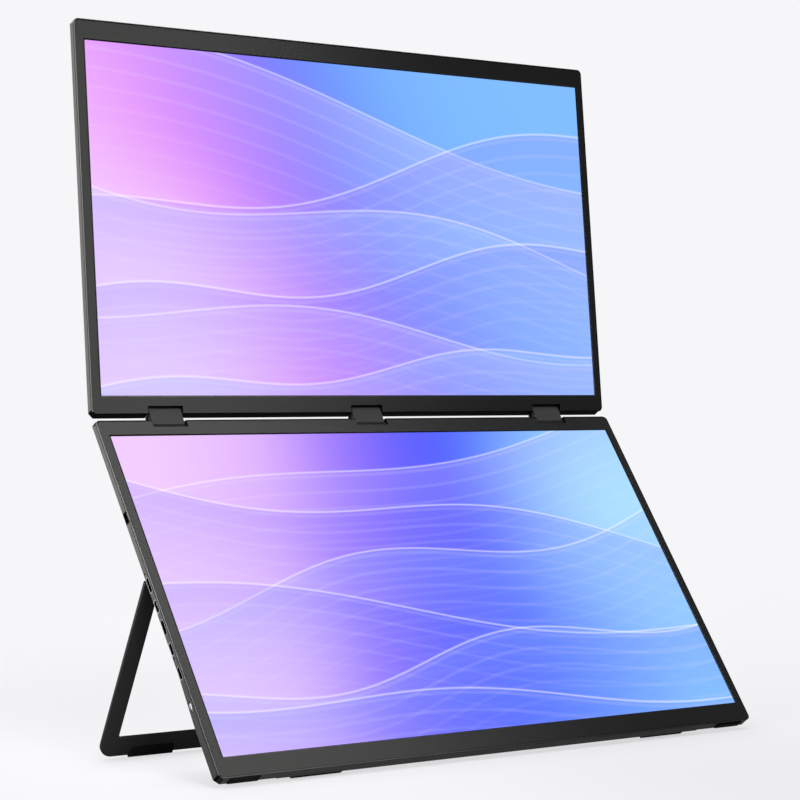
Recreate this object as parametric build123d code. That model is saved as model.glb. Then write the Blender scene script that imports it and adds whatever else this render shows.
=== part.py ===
from build123d import *
import math
import os

os.makedirs("parts", exist_ok=True)

# Stacked dual-screen monitor, millimetres, +Z up, screens facing -Y, standing on the floor at z = 0.

# Display outline
screen_width = 344.2
screen_height = 193.6
side_border = 5.5
hinge_border = 9.8
far_border = 11.2
frame_thickness = 1.2
case_thickness = 5.1
frame_corner_radius = 3.0
frame_front_bevel = 0.4
opening_bevel = 0.25
cover_corner_bevel = 2.6
cover_rear_bevel = 0.5
cover_hinge_lip = 2.0
wall_thickness = 1.5
floor_thickness = 0.6
seat_gap = 0.05
overcut = 1.0

# Screen stack
lip_thickness = 0.6
panel_thickness = 1.0
panel_side_margin = 2.5
panel_hinge_margin = 3.0
panel_far_margin = 5.0
panel_gap = 0.15
plate_thickness = 0.4
plate_side_inset = 14.6
plate_end_inset = 3.0
rib_width = 2.0
rib_offset = 60.0
rib_start = 76.0
rib_end_inset = 14.0

# Links and hinge axes
hinge_side = 44.9
hinge_inset = 2.4
hinge_depth = 2.7
link_pitch = 10.0
link_thickness = 3.2
link_width = 20.0
link_edge_bevel = 0.25
notch_side_gap = 0.8
notch_end_gap = 0.6
notch_wall = 1.2
notch_ledge = 0.8
pin_radius = 0.75
pin_gap = 0.03
sleeve_gap = 0.05
sleeve_wall = 0.36
sleeve_length = 18.0
sleeve_slit = 0.3
sleeve_seat_gap = 0.02
pin_hole_gap = 0.1
knuckle_width = 5.0
knuckle_depth = 4.2
knuckle_rear_gap = 0.1
leaf_length = 11.0
leaf_thickness = 0.6
leaf_seat_height = 1.9
cap_width = 14.0
cap_height = 6.2
cap_thickness = 0.7
cap_gap = 0.05
cap_pocket_depth = 1.2
ribbon_width = 10.0
ribbon_thickness = 0.3
ribbon_turn = 70.0
ribbon_landing = 12.0
driver_ribbon_width = 7.0

# Leans at rest, degrees back from vertical, and the stand's angle from the back
link_lean = 30.5
upper_lean = 4.85
stand_open = 64.3

# Screws
screw_radius = 0.6
screw_head_radius = 1.25
screw_head_height = 0.5
screw_drive_radius = 0.55
screw_drive_depth = 0.3
screw_gap = 0.03
boss_radius = 1.7
post_length = 1.3
case_screw_corner_side = 13.6
case_screw_far_side = 20.6
case_screw_hinge_y = 1.6
case_screw_far_inset = 3.9
case_screw_tip_cover = 0.5

# Back of the lower display
island_gap = 1.2
island_height = 2.6
island_slope = 1.5
island_bracket_gap = 2.2
base_length = 34.0
base_slope = 27.0
base_rise = 1.7
rim_side = 34.6
rim_length = 6.5
rim_height = 3.0
rim_slope = 2.0
rim_gap = 0.9

# Back of the upper display
upper_island_side = 33.6
upper_island_height = 1.0
upper_island_inset = 24.0

# Stand
stand_reach = 108.2
stand_thickness = 2.0
stand_rest_gap = 0.6
stand_leg_width = 9.6
stand_bar_height = 11.8
stand_corner_radius = 8.4
stand_inner_radius = 2.0
stand_bevel = 0.3
stand_leg_top = 0.8
tab_overhang = 6.0
tab_start = 2.2
tab_height = 6.0
barrel_radius = 1.3
barrel_inset = 26.0
barrel_length = 14.0
lug_width = 4.6
lug_gap = 0.3
lug_radius = 1.35
stand_pin_radius = 0.6
bracket_plate = 0.8
bracket_height = 16.0
bracket_block_depth = 2.6
bracket_margin = 3.0
bracket_screw_offset = 5.2
stand_pad_start = 18.5
stand_pad_length = 26.8
stand_pad_height = 5.0
stand_pad_corner = 1.5
stand_pad_sink = 0.6
stand_pad_proud = 0.5
stand_pad_below = 0.9
stand_pad_wrap = 1.6
foot_squash = 0.3

# Rubber on the lower display
edge_pad_start = 6.5
edge_pad_length = 18.0
edge_pad_inset = 0.3
edge_pad_sink = 0.4
edge_pad_proud = 0.8
edge_pad_bevel = 0.5
rear_foot_side = 61.5
rear_foot_length = 31.0
rear_foot_height = 2.85
rear_foot_start = 6.0
rear_foot_beyond = -1.135
rear_foot_bevel = 1.3

# Sockets on the lower display's left edge, distances down from the screen's top
socket_depth = 3.05
socket_length = 7.0
socket_gap = 0.05
socket_recess = 0.1
socket_back = 0.6
usb_spots = (91.8, 117.0)
usb_opening = (8.34, 2.4)
usb_wall = 0.2
usb_tongue = (6.7, 0.7, 5.0)
slot_spots = (104.6, 129.8, 143.9)
slot_opening = (6.4, 2.2)
slot_wall = 0.2
slot_corner = 0.7
slot_tongue = (4.2, 0.6, 5.0)
lens_spots = (84.7, 134.9)
lens_depth = 3.7
lens_radius = 0.5
lens_gap = 0.02
lens_length = 2.6
lock_spot = 50.85
lock_flange = (6.1, 3.3)
lock_flange_depth = 3.0
lock_opening = (5.0, 2.4)
lock_body_height = 2.7
lock_body_end = 4.2
lock_slot_depth = 3.0
lock_gap = 0.03

# Main board
board_thickness = 0.8
board_depth = 2.7
board_bracket_gap = 3.6
board_top = 80.0
board_bottom = 172.0
chip_height = 0.6
chip_spots = ((3.5, 16.0, 10.0), (5.0, 42.0, 12.0), (4.0, 62.0, 8.0))
board_screw_spots = (84.0, 158.0)
board_screw_edge = 3.0
socket_strip = 4.5
socket_strip_depth = 5.0

# Driver boards
driver_side = 67.6
driver_height = 12.0
driver_thickness = 0.7
driver_inset = 14.0
driver_chip = (24.0, 6.0, 0.8)
driver_chip_spacing = 52.0

# Thumb wheel
wheel_spot = 163.0
wheel_radius = 3.6
wheel_show = 0.75
wheel_thickness = 1.5
wheel_depth = 3.3
wheel_gap = 0.4
wheel_bore_gap = 0.04
wheel_grooves = 24
groove_radius = 0.16
axle_radius = 0.5
axle_tail = 0.2
carriage_thickness = 0.5
carriage_lift = 0.1
carriage_width = 3.2
carriage_nose = 0.9
carriage_tail = 9.0
carriage_gap = 0.06
switch_start = 4.9
switch_length = 4.9
switch_width = 6.4
switch_clear = 0.5
press_travel = 0.4

# Derived sizes
width = screen_width + 2 * side_border
height = hinge_border + screen_height + far_border
half_width = width / 2
edge_y = -hinge_inset
end_y = edge_y + height
mid_y = (edge_y + end_y) / 2
front_z = hinge_depth
seam_z = front_z - frame_thickness
rear_z = front_z - case_thickness
floor_z = rear_z + floor_thickness
screen_y0 = edge_y + hinge_border
screen_y1 = screen_y0 + screen_height
panel_front_z = front_z - lip_thickness
panel_rear_z = panel_front_z - panel_thickness
plate_rear_z = panel_rear_z - plate_thickness
panel_half = screen_width / 2 + panel_side_margin
panel_y0 = screen_y0 - panel_hinge_margin
panel_y1 = screen_y1 + panel_far_margin
plate_half_width = panel_half - plate_side_inset
link_radius = link_thickness / 2
notch_half = link_width / 2 + notch_side_gap
notch_end = link_radius + notch_end_gap
sleeve_bore = pin_radius + sleeve_gap
sleeve_outer = sleeve_bore + sleeve_wall
link_bore = sleeve_outer + sleeve_seat_gap
hinge_spacing = half_width - hinge_side
hinge_centres = (-hinge_spacing, 0.0, hinge_spacing)
knuckle_start = notch_half + notch_wall + seat_gap
knuckle_end = knuckle_start + knuckle_width
leaf_z = floor_z + leaf_seat_height
wall_inner_x = half_width - wall_thickness
far_screw_y = end_y - case_screw_far_inset
driver_y0 = screen_y1 - driver_inset
driver_half_width = half_width - driver_side
base_start = end_y - base_length
base_z = rear_z - base_rise
rim_start = end_y - rim_length
rim_half_width = half_width - rim_side
upper_island_half_width = half_width - upper_island_side
rear_foot_centre = half_width - rear_foot_side
stand_y = rim_start - rim_gap - foot_squash - stand_pad_below - stand_reach
stand_z = rear_z - stand_rest_gap - stand_thickness / 2
stand_inner_half = half_width - stand_leg_width
barrel_start = stand_inner_half - barrel_inset - barrel_length
tab_end = barrel_start - tab_overhang
bracket_x0 = barrel_start - lug_gap - lug_width
bracket_x1 = barrel_start + barrel_length + lug_gap + lug_width
plate_x0 = bracket_x0 - bracket_margin
plate_x1 = bracket_x1
plate_z = rear_z + bracket_plate
bracket_y0 = stand_y - bracket_height / 2
bracket_y1 = stand_y + bracket_height / 2
mount_margin = bracket_margin / 2
island_y0 = bracket_y1 + island_bracket_gap
island_y1 = stand_y + stand_reach - stand_bar_height - island_gap
socket_z = front_z - socket_depth
board_z = front_z - board_depth
socket_end_x = half_width - socket_recess
socket_start_x = socket_end_x - socket_length
board_inner_edge = plate_x1 + mount_margin + board_bracket_gap
board_outer_edge = socket_start_x - socket_gap
wheel_x = half_width + wheel_show - wheel_radius
wheel_z = front_z - wheel_depth


def block(x0, x1, y0, y1, z0, z1):
    centre = Pos((x0 + x1) / 2, (y0 + y1) / 2, (z0 + z1) / 2)
    return centre * Box(abs(x1 - x0), abs(y1 - y0), abs(z1 - z0))


def rod_z(x, y, z0, z1, radius):
    return Pos(x, y, (z0 + z1) / 2) * Cylinder(radius, z1 - z0)


def rod_x(x0, x1, y, z, radius):
    return Pos((x0 + x1) / 2, y, z) * Rot(0, 90, 0) * Cylinder(radius, abs(x1 - x0))


def both_sides(shape):
    return [shape, mirror(shape, about=Plane.YZ)]


def joined(shapes):
    whole = shapes[0]
    for shape in shapes[1:]:
        whole = whole + shape
    return whole


def down_screen(distance):
    return screen_y0 + distance


# Screw with its head's underside at z0 and its tip at z1; the head lies on the far side of z0.
def screw(x, y, z0, z1):
    side = 1 if z1 > z0 else -1
    head_end = z0 - side * screw_head_height
    shank = rod_z(x, y, min(z0, z1), max(z0, z1), screw_radius)
    head = rod_z(x, y, min(z0, head_end), max(z0, head_end), screw_head_radius)
    drive = Pos(x, y, head_end) * extrude(
        RegularPolygon(screw_drive_radius, 6), screw_drive_depth, both=True
    )
    return shank + head - drive


def screw_hole(x, y, z0, z1):
    return rod_z(x, y, min(z0, z1), max(z0, z1), screw_radius + screw_gap)


def notches(z0, z1):
    y0 = edge_y - cover_hinge_lip - overcut
    return [block(c - notch_half, c + notch_half, y0, notch_end, z0, z1) for c in hinge_centres]


case_screw_spots = [
    (hinge_spacing / 2, case_screw_hinge_y),
    (half_width - case_screw_corner_side, case_screw_hinge_y),
    (half_width - case_screw_far_side, far_screw_y),
]
case_screws = [(s * x, y) for x, y in case_screw_spots for s in (1, -1)]
post_end_z = seam_z - post_length
head_seat_z = rear_z + screw_head_height + screw_gap
case_screw_tip_z = front_z - case_screw_tip_cover


# Front frame: a flat ring with a bevelled front edge, a lip over the screen and posts for the case screws.
def make_frame():
    ring = Pos(0, mid_y, seam_z) * extrude(
        RectangleRounded(width, height, frame_corner_radius), frame_thickness
    )
    ring = chamfer(ring.faces().sort_by(Axis.Z)[-1].edges(), frame_front_bevel)
    low_z = seam_z - overcut
    high_z = front_z + overcut
    window = block(-screen_width / 2, screen_width / 2, screen_y0, screen_y1, low_z, high_z)
    rebate = block(
        -panel_half - panel_gap,
        panel_half + panel_gap,
        panel_y0 - panel_gap,
        panel_y1 + panel_gap,
        low_z,
        panel_front_z,
    )
    ring = ring - window - rebate
    rim = ring.faces().sort_by(Axis.Z)[-1].inner_wires()[0].edges()
    ring = chamfer(rim, opening_bevel)
    for cut in notches(low_z, high_z):
        ring = ring - cut
    for x, y in case_screws:
        ring = ring + rod_z(x, y, post_end_z, seam_z, boss_radius)
        ring = ring - screw_hole(x, y, post_end_z, case_screw_tip_z + screw_gap)
    return ring


def make_panel():
    return block(-panel_half, panel_half, panel_y0, panel_y1, panel_rear_z, panel_front_z)


def make_plate():
    y0 = panel_y0 + plate_end_inset
    y1 = panel_y1 - plate_end_inset
    return block(-plate_half_width, plate_half_width, y0, y1, plate_rear_z, panel_rear_z)


def cover_outline(y0, z):
    sheet = Pos(0, (y0 + end_y) / 2, z) * Rectangle(width, end_y - y0)
    return chamfer(sheet.vertices(), cover_corner_bevel)


# Outside of a rear cover; its hinge edge leans outward to the rear.
def make_cover_block():
    return loft([cover_outline(edge_y - cover_hinge_lip, rear_z), cover_outline(edge_y, seam_z)], ruled=True)


# Thicker lower end of the lower cover, with a long slope up to it.
def make_base():
    section = Polyline(
        (0, base_start - base_slope, floor_z),
        (0, base_start - base_slope, rear_z),
        (0, base_start, base_z),
        (0, end_y, base_z),
        (0, end_y, floor_z),
        close=True,
    )
    across = extrude(make_face(section), half_width, both=True, dir=(1, 0, 0))
    return across & extrude(cover_outline(edge_y, base_z), floor_z - base_z, dir=(0, 0, 1))


# Bevels the rear faces' outer edges; the creases of the slope lie between two rear faces and stay sharp.
def bevel_rear(body):
    rear = [face for face in body.faces() if face.normal_at().Z < 0 and face.center().Z < floor_z]
    edges = [edge for face in rear for edge in face.edges()]
    outer = [edge for edge in edges if sum(edge.is_same(other) for other in edges) == 1]
    return chamfer(outer, cover_rear_bevel)


# Rear cover common to both displays: a shallow tray with walls round the hinge notches.
def make_tray(body):
    body = bevel_rear(body)
    cavity = block(
        -wall_inner_x,
        wall_inner_x,
        edge_y + wall_thickness,
        end_y - wall_thickness,
        floor_z,
        seam_z + overcut,
    )
    body = body - cavity
    surround = notch_half + notch_wall
    for c in hinge_centres:
        body = body + block(
            c - surround, c + surround, edge_y + cover_rear_bevel, notch_end + notch_wall, floor_z, seam_z
        )
    for cut in notches(rear_z - overcut, seam_z + overcut):
        body = body - cut
    for c in hinge_centres:
        ledge_y = notch_end - notch_ledge
        body = body + block(c - surround, c + surround, ledge_y, notch_end + notch_wall, rear_z, floor_z)
        body = body - rod_x(c - knuckle_start, c + knuckle_start, 0, 0, pin_radius + pin_hole_gap)
        for side in (1, -1):
            x = c + side * (knuckle_end + leaf_length / 2)
            body = body + rod_z(x, case_screw_hinge_y, floor_z, leaf_z - seat_gap, boss_radius)
            body = body - screw_hole(x, case_screw_hinge_y, floor_z, leaf_z)
    return body


def add_case_bosses(body, outside_z):
    for x, y in case_screws:
        body = body + rod_z(x, y, floor_z, post_end_z - seat_gap, boss_radius)
        body = body - screw_hole(x, y, outside_z, post_end_z)
        body = body - rod_z(x, y, outside_z, head_seat_z, screw_head_radius + screw_gap)
    return body


def add_ribs(body, rise):
    y1 = screen_y1 - driver_inset - rib_end_inset
    for side in (1, -1):
        x0 = side * rib_offset - rib_width / 2
        rib = block(x0, x0 + rib_width, rib_start, y1, rear_z, plate_rear_z - seat_gap)
        foot = block(x0, x0 + rib_width, island_y0 + rib_end_inset, y1, rear_z - rise, floor_z)
        body = body + rib + foot
    return body


# Raised island with sloped edges; its inside is hollow so that the wall stays even.
def add_island(body, half, y0, y1, rise, slope):
    lid = loft(
        [
            Pos(0, (y0 + y1) / 2, rear_z + floor_thickness / 2) * Rectangle(2 * half, y1 - y0),
            Pos(0, (y0 + y1) / 2, rear_z - rise) * Rectangle(2 * half - 2 * slope, y1 - y0 - 2 * slope),
        ]
    )
    inset = slope + floor_thickness
    hollow = block(
        -half + inset, half - inset, y0 + inset, y1 - inset, rear_z - rise + floor_thickness, floor_z
    )
    return body + lid - hollow


def make_case_screws():
    return [screw(x, y, head_seat_z, case_screw_tip_z) for x, y in case_screws]


# Hinge hardware in one display
def make_brackets():
    found = []
    y0 = edge_y + wall_thickness + seat_gap
    for c in hinge_centres:
        for side in (1, -1):
            inner = c + side * knuckle_start
            outer = c + side * knuckle_end
            tip = outer + side * leaf_length
            eye = block(inner, outer, y0, y0 + knuckle_depth, floor_z + knuckle_rear_gap, seam_z - seat_gap)
            leaf = block(outer, tip, y0, y0 + knuckle_depth, leaf_z, leaf_z + leaf_thickness)
            eye = eye + leaf - rod_x(inner, outer, 0, 0, pin_radius + pin_gap)
            hole_x = outer + side * leaf_length / 2
            found.append(eye - screw_hole(hole_x, case_screw_hinge_y, leaf_z, leaf_z + leaf_thickness))
    return found


def make_bracket_screws():
    spots = [c + s * (knuckle_end + leaf_length / 2) for c in hinge_centres for s in (1, -1)]
    top = leaf_z + leaf_thickness
    return [screw(x, case_screw_hinge_y, top, floor_z + screw_gap) for x in spots]


def make_pins():
    reach = knuckle_end - seat_gap
    return [rod_x(c - reach, c + reach, 0, 0, pin_radius) for c in hinge_centres]


def make_driver_board():
    z1 = plate_rear_z - seat_gap
    board = block(
        -driver_half_width,
        driver_half_width,
        driver_y0,
        driver_y0 + driver_height,
        z1 - driver_thickness,
        z1,
    )
    long, tall, thick = driver_chip
    chip_y = driver_y0 + driver_height / 2
    for x in (-driver_chip_spacing, 0, driver_chip_spacing):
        z0 = z1 - driver_thickness
        board = board + block(x - long / 2, x + long / 2, chip_y - tall / 2, chip_y + tall / 2, z0 - thick, z0)
    return board


# Links, in a frame with the lower axis at the origin and the upper axis at +Y.
def stadium(radius):
    flat = Rectangle(2 * radius, link_pitch)
    ends = Pos(0, link_pitch / 2) * Circle(radius) + Pos(0, -link_pitch / 2) * Circle(radius)
    return Rot(0, 90, 0) * (flat + ends)


cap_rear_z = -link_radius
cap_front_z = cap_rear_z + cap_thickness
cap_pocket_z = cap_rear_z + cap_pocket_depth
link_mid_y = link_pitch / 2


def make_link(centre):
    body = extrude(stadium(link_radius), link_width / 2, both=True)
    body = Pos(0, link_mid_y) * body
    ends = body.faces().filter_by(Axis.X).edges()
    body = chamfer(ends, link_edge_bevel)
    for y in (0, link_pitch):
        body = body - rod_x(-link_width, link_width, y, 0, link_bore)
    pocket = block(
        -cap_width / 2,
        cap_width / 2,
        link_mid_y - cap_height / 2,
        link_mid_y + cap_height / 2,
        cap_rear_z - overcut,
        cap_pocket_z,
    )
    return Pos(centre) * (body - pocket)


def make_cap(centre):
    half_w = cap_width / 2 - cap_gap
    half_h = cap_height / 2 - cap_gap
    return Pos(centre) * block(
        -half_w, half_w, link_mid_y - half_h, link_mid_y + half_h, cap_rear_z, cap_front_z
    )


def make_sleeve(centre, y):
    ring = Cylinder(sleeve_outer, sleeve_length) - Cylinder(sleeve_bore, sleeve_length)
    slit = Pos(sleeve_outer / 2 + sleeve_bore / 2) * Box(sleeve_wall * 3, sleeve_slit, sleeve_length)
    return Pos(centre, y) * Rot(0, 90, 0) * (ring - slit)


def make_link_ribbon():
    half_h = cap_height / 2 - cap_gap
    z0 = cap_front_z + cap_gap
    return block(
        -ribbon_width / 2,
        ribbon_width / 2,
        link_mid_y - half_h,
        link_mid_y + half_h,
        z0,
        z0 + ribbon_thickness,
    )


# Ribbons lie flat on the carrier plate's back and start at the middle notch's end wall.
ribbon_z1 = plate_rear_z - seat_gap
ribbon_z0 = ribbon_z1 - ribbon_thickness
ribbon_y0 = notch_end + notch_wall + seat_gap


def ribbon_run(x0, x1, y0, y1):
    return block(x0, x1, y0, y1, ribbon_z0, ribbon_z1)


def make_upper_ribbon():
    return ribbon_run(-ribbon_width / 2, ribbon_width / 2, ribbon_y0, driver_y0 - seat_gap)


# From the middle link to the main board, and from there to the driver board.
def make_lower_ribbons():
    landing_x0 = board_inner_edge + socket_strip
    landing_x1 = landing_x0 + ribbon_width
    turn_y0 = ribbon_turn - ribbon_width
    feed = ribbon_run(-ribbon_width / 2, ribbon_width / 2, ribbon_y0, ribbon_turn)
    feed = feed + ribbon_run(-ribbon_width / 2, landing_x1, turn_y0, ribbon_turn)
    feed = feed + ribbon_run(landing_x0, landing_x1, turn_y0, edge_y + board_top + ribbon_landing)
    screen_x1 = landing_x0 + driver_ribbon_width
    screen_y = driver_y0 + driver_height / 2
    link = ribbon_run(
        landing_x0,
        screen_x1,
        edge_y + board_bottom - ribbon_landing,
        screen_y + driver_ribbon_width / 2,
    )
    link = link + ribbon_run(
        driver_half_width + seat_gap,
        screen_x1,
        screen_y - driver_ribbon_width / 2,
        screen_y + driver_ribbon_width / 2,
    )
    return [feed, link]


# Parts of the lower display
def make_usb_shells(cut=0.0):
    found = []
    for spot in usb_spots:
        wide, tall = usb_opening
        outer = SlotOverall(wide + 2 * usb_wall + 2 * cut, tall + 2 * usb_wall + 2 * cut)
        found.append((down_screen(spot), outer, SlotOverall(wide, tall)))
    return found


def trapezoid(wide, tall, corner):
    half_w = wide / 2
    half_t = tall / 2
    points = [
        (-half_w, half_t),
        (half_w, half_t),
        (half_w, -half_t + corner),
        (half_w - corner, -half_t),
        (-half_w + corner, -half_t),
        (-half_w, -half_t + corner),
    ]
    return make_face(Polyline(*points, close=True))


def make_slot_shells(cut=0.0):
    found = []
    for spot in slot_spots:
        wide, tall = slot_opening
        grow = 2 * slot_wall + 2 * cut
        outer = trapezoid(wide + grow, tall + grow, slot_corner)
        found.append((down_screen(spot), outer, trapezoid(wide, tall, slot_corner)))
    return found


# Turns a socket sketch so that its length runs along Y and its height along Z, facing +X.
def facing_edge(y, z, x):
    return Location(Plane((x, y, z), x_dir=(0, 1, 0), z_dir=(1, 0, 0)))


def socket_bodies(shells):
    found = []
    for y, outer, inner in shells:
        body = facing_edge(y, socket_z, socket_start_x) * extrude(outer, socket_length)
        hole = facing_edge(y, socket_z, socket_start_x + socket_back) * extrude(inner, socket_length)
        found.append(body - hole)
    return found


def socket_tongues(shells, size):
    wide, tall, deep = size
    x0 = socket_start_x + socket_back
    return [
        block(x0, x0 + deep, y - wide / 2, y + wide / 2, socket_z - tall / 2, socket_z + tall / 2)
        for y, outer, inner in shells
    ]


def make_lenses():
    z = front_z - lens_depth
    x1 = half_width - socket_recess
    return [rod_x(x1 - lens_length, x1, down_screen(spot), z, lens_radius) for spot in lens_spots]


lock_y = down_screen(lock_spot)
lock_z = front_z - lock_flange_depth


def make_lock_liner():
    wide, tall = lock_flange
    x1 = half_width - socket_recess
    flange = block(wall_inner_x, x1, lock_y - wide / 2, lock_y + wide / 2, lock_z - tall / 2, lock_z + tall / 2)
    half_b = lock_body_height / 2
    rear = block(
        half_width - lock_body_end,
        wall_inner_x,
        lock_y - wide / 2,
        lock_y + wide / 2,
        socket_z - half_b,
        socket_z + half_b,
    )
    hole_w, hole_t = lock_opening
    slot = block(
        x1 - lock_slot_depth,
        x1 + overcut,
        lock_y - hole_w / 2,
        lock_y + hole_w / 2,
        socket_z - hole_t / 2,
        socket_z + hole_t / 2,
    )
    return flange + rear - slot


def make_main_board():
    y0 = edge_y + board_top
    y1 = edge_y + board_bottom
    board = block(board_inner_edge, board_outer_edge, y0, y1, board_z - board_thickness, board_z)
    for spot in board_screw_spots:
        x = board_inner_edge + board_screw_edge
        board = board - screw_hole(x, edge_y + spot, board_z - board_thickness, board_z)
    strip_x0 = board_inner_edge + socket_strip
    for y, wide in (
        (y0 + ribbon_landing - socket_strip_depth, ribbon_width),
        (y1 - ribbon_landing, driver_ribbon_width),
    ):
        strip = block(strip_x0, strip_x0 + wide, y, y + socket_strip_depth, board_z, ribbon_z0 - seat_gap)
        board = board + strip
    return board


def make_board_screws():
    x = board_inner_edge + board_screw_edge
    return [screw(x, edge_y + spot, board_z, floor_z + screw_gap) for spot in board_screw_spots]


def make_chips():
    found = []
    for x, y, size in chip_spots:
        x0 = board_inner_edge + x
        y0 = edge_y + board_top + y
        found.append(block(x0, x0 + size, y0, y0 + size, board_z, board_z + chip_height))
    return found


wheel_y = down_screen(wheel_spot)
wheel_z0 = wheel_z - wheel_thickness / 2
wheel_z1 = wheel_z + wheel_thickness / 2
carriage_z0 = wheel_z1 + carriage_lift
carriage_z1 = carriage_z0 + carriage_thickness


def make_wheel():
    wheel = rod_z(wheel_x, wheel_y, wheel_z0, wheel_z1, wheel_radius)
    wheel = chamfer(wheel.edges(), groove_radius)
    for i in range(wheel_grooves):
        angle = math.radians(360 * i / wheel_grooves)
        x = wheel_x + wheel_radius * math.cos(angle)
        y = wheel_y + wheel_radius * math.sin(angle)
        wheel = wheel - rod_z(x, y, wheel_z0, wheel_z1, groove_radius)
    return wheel - rod_z(wheel_x, wheel_y, wheel_z0, wheel_z1, axle_radius + wheel_bore_gap)


def make_axle():
    return rod_z(wheel_x, wheel_y, wheel_z0 - axle_tail, carriage_z1, axle_radius)


def make_carriage():
    x0 = wheel_x - carriage_tail
    x1 = wheel_x + carriage_nose
    half = carriage_width / 2
    plate = block(x0, x1, wheel_y - half, wheel_y + half, carriage_z0, carriage_z1)
    return plate - rod_z(wheel_x, wheel_y, carriage_z0, carriage_z1, axle_radius)


def make_switch():
    x1 = wheel_x - switch_start
    x0 = x1 - switch_length
    half = switch_width / 2
    body = block(x0, x1, wheel_y - half, wheel_y + half, board_z, panel_rear_z - seat_gap)
    inner = carriage_width / 2 + carriage_gap
    tunnel = block(
        wheel_x - carriage_tail - press_travel - switch_clear,
        x1 + overcut,
        wheel_y - inner,
        wheel_y + inner,
        carriage_z0 - carriage_gap,
        carriage_z1 + carriage_gap,
    )
    return body - tunnel


def make_edge_pads():
    x1 = half_width - edge_pad_start
    x0 = x1 - edge_pad_length
    pad = block(
        x0,
        x1,
        end_y - edge_pad_sink,
        end_y + edge_pad_proud,
        base_z + cover_rear_bevel + edge_pad_inset,
        seam_z - edge_pad_inset,
    )
    pad = chamfer(pad.faces().sort_by(Axis.Y)[-1].edges(), edge_pad_bevel)
    return both_sides(pad)


# Rear feet stand on the rim; their lowest edge is trimmed flat by the floor.
rear_foot_y1 = end_y + rear_foot_beyond
rear_foot_z0 = rear_z - rim_height - rear_foot_height


def make_rear_feet():
    x0 = rear_foot_centre - rear_foot_length / 2
    foot = block(
        x0,
        x0 + rear_foot_length,
        end_y - rear_foot_start,
        rear_foot_y1 + foot_squash,
        rear_foot_z0 - foot_squash,
        rear_z - rim_height,
    )
    foot = chamfer(foot.faces().sort_by(Axis.Z)[0].edges().filter_by(Axis.Y), rear_foot_bevel)
    return both_sides(foot)


# Stand, in a frame with its pivot axis along X, +Y to the foot and +Z to the display's back when folded.
half_stand = stand_thickness / 2
stand_pad_x1 = half_width - stand_pad_start
stand_pad_x0 = stand_pad_x1 - stand_pad_length
stand_pad_y1 = stand_reach + stand_pad_below
stand_pad_z1 = half_stand + stand_pad_proud


def make_stand_pads():
    face = block(
        stand_pad_x0,
        stand_pad_x1,
        stand_reach - stand_pad_height,
        stand_pad_y1 + foot_squash,
        half_stand - stand_pad_sink,
        stand_pad_z1,
    )
    face = fillet(face.edges().filter_by(Axis.Z).group_by(Axis.Y)[0], stand_pad_corner)
    under = block(
        stand_pad_x0,
        stand_pad_x1,
        stand_reach,
        stand_pad_y1 + foot_squash,
        stand_pad_z1 - stand_pad_wrap,
        stand_pad_z1,
    )
    return both_sides(face + under)


def make_stand_frame():
    plate = Rectangle(width, stand_reach + stand_leg_top)
    plate = Pos(0, (stand_reach - stand_leg_top) / 2) * plate
    low = plate.vertices().group_by(Axis.Y)[-1]
    plate = fillet(low, stand_corner_radius)
    opening_y1 = stand_reach - stand_bar_height
    opening = Pos(0, opening_y1 / 2 - stand_leg_top) * Rectangle(
        2 * stand_inner_half, opening_y1 + 2 * stand_leg_top
    )
    opening = fillet(opening.vertices().group_by(Axis.Y)[-1], stand_inner_radius)
    frame = Pos(0, 0, -half_stand) * extrude(plate - opening, stand_thickness)
    faces = frame.faces().filter_by(Axis.Z)
    frame = chamfer(faces.edges(), stand_bevel)
    arms = []
    for side in (1, -1):
        x_leg = side * (stand_inner_half + stand_bevel)
        x_end = side * tab_end
        arms.append(block(x_end, x_leg, tab_start, tab_start + tab_height, -half_stand, half_stand))
        x0 = side * barrel_start
        x1 = side * (barrel_start + barrel_length)
        arms.append(block(x0, x1, 0, tab_start, -half_stand, half_stand))
        arms.append(rod_x(x0, x1, 0, 0, barrel_radius))
    frame = joined([frame] + arms)
    for side in (1, -1):
        x0 = side * barrel_start
        x1 = side * (barrel_start + barrel_length)
        frame = frame - rod_x(x0, x1, 0, 0, stand_pin_radius + sleeve_gap)
    return frame


stand_screw_x = (bracket_x0 + bracket_x1) / 2
stand_screw_spots = [(stand_screw_x, stand_y + s * bracket_screw_offset) for s in (1, -1)]


def make_stand_brackets():
    body = block(plate_x0, plate_x1, bracket_y0, bracket_y1, rear_z, plate_z)
    for x0, x1 in (
        (bracket_x0, bracket_x0 + lug_width),
        (bracket_x1 - lug_width, bracket_x1),
    ):
        body = body + block(x0, x1, stand_y - lug_radius, stand_y + lug_radius, stand_z, plate_z)
        body = body + rod_x(x0, x1, stand_y, stand_z, lug_radius)
    body = body - rod_x(bracket_x0, bracket_x1, stand_y, stand_z, stand_pin_radius + pin_gap)
    for x, y in stand_screw_spots:
        body = body - screw_hole(x, y, rear_z, plate_z)
        body = body - rod_z(x, y, rear_z, head_seat_z, screw_head_radius + screw_gap)
    return both_sides(body)


def make_stand_screws():
    tip = rear_z + bracket_block_depth - screw_gap
    found = []
    for x, y in stand_screw_spots:
        found += both_sides(screw(x, y, head_seat_z, tip))
    return found


def make_stand_pins():
    return both_sides(rod_x(bracket_x0, bracket_x1, stand_y, stand_z, stand_pin_radius))


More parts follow.
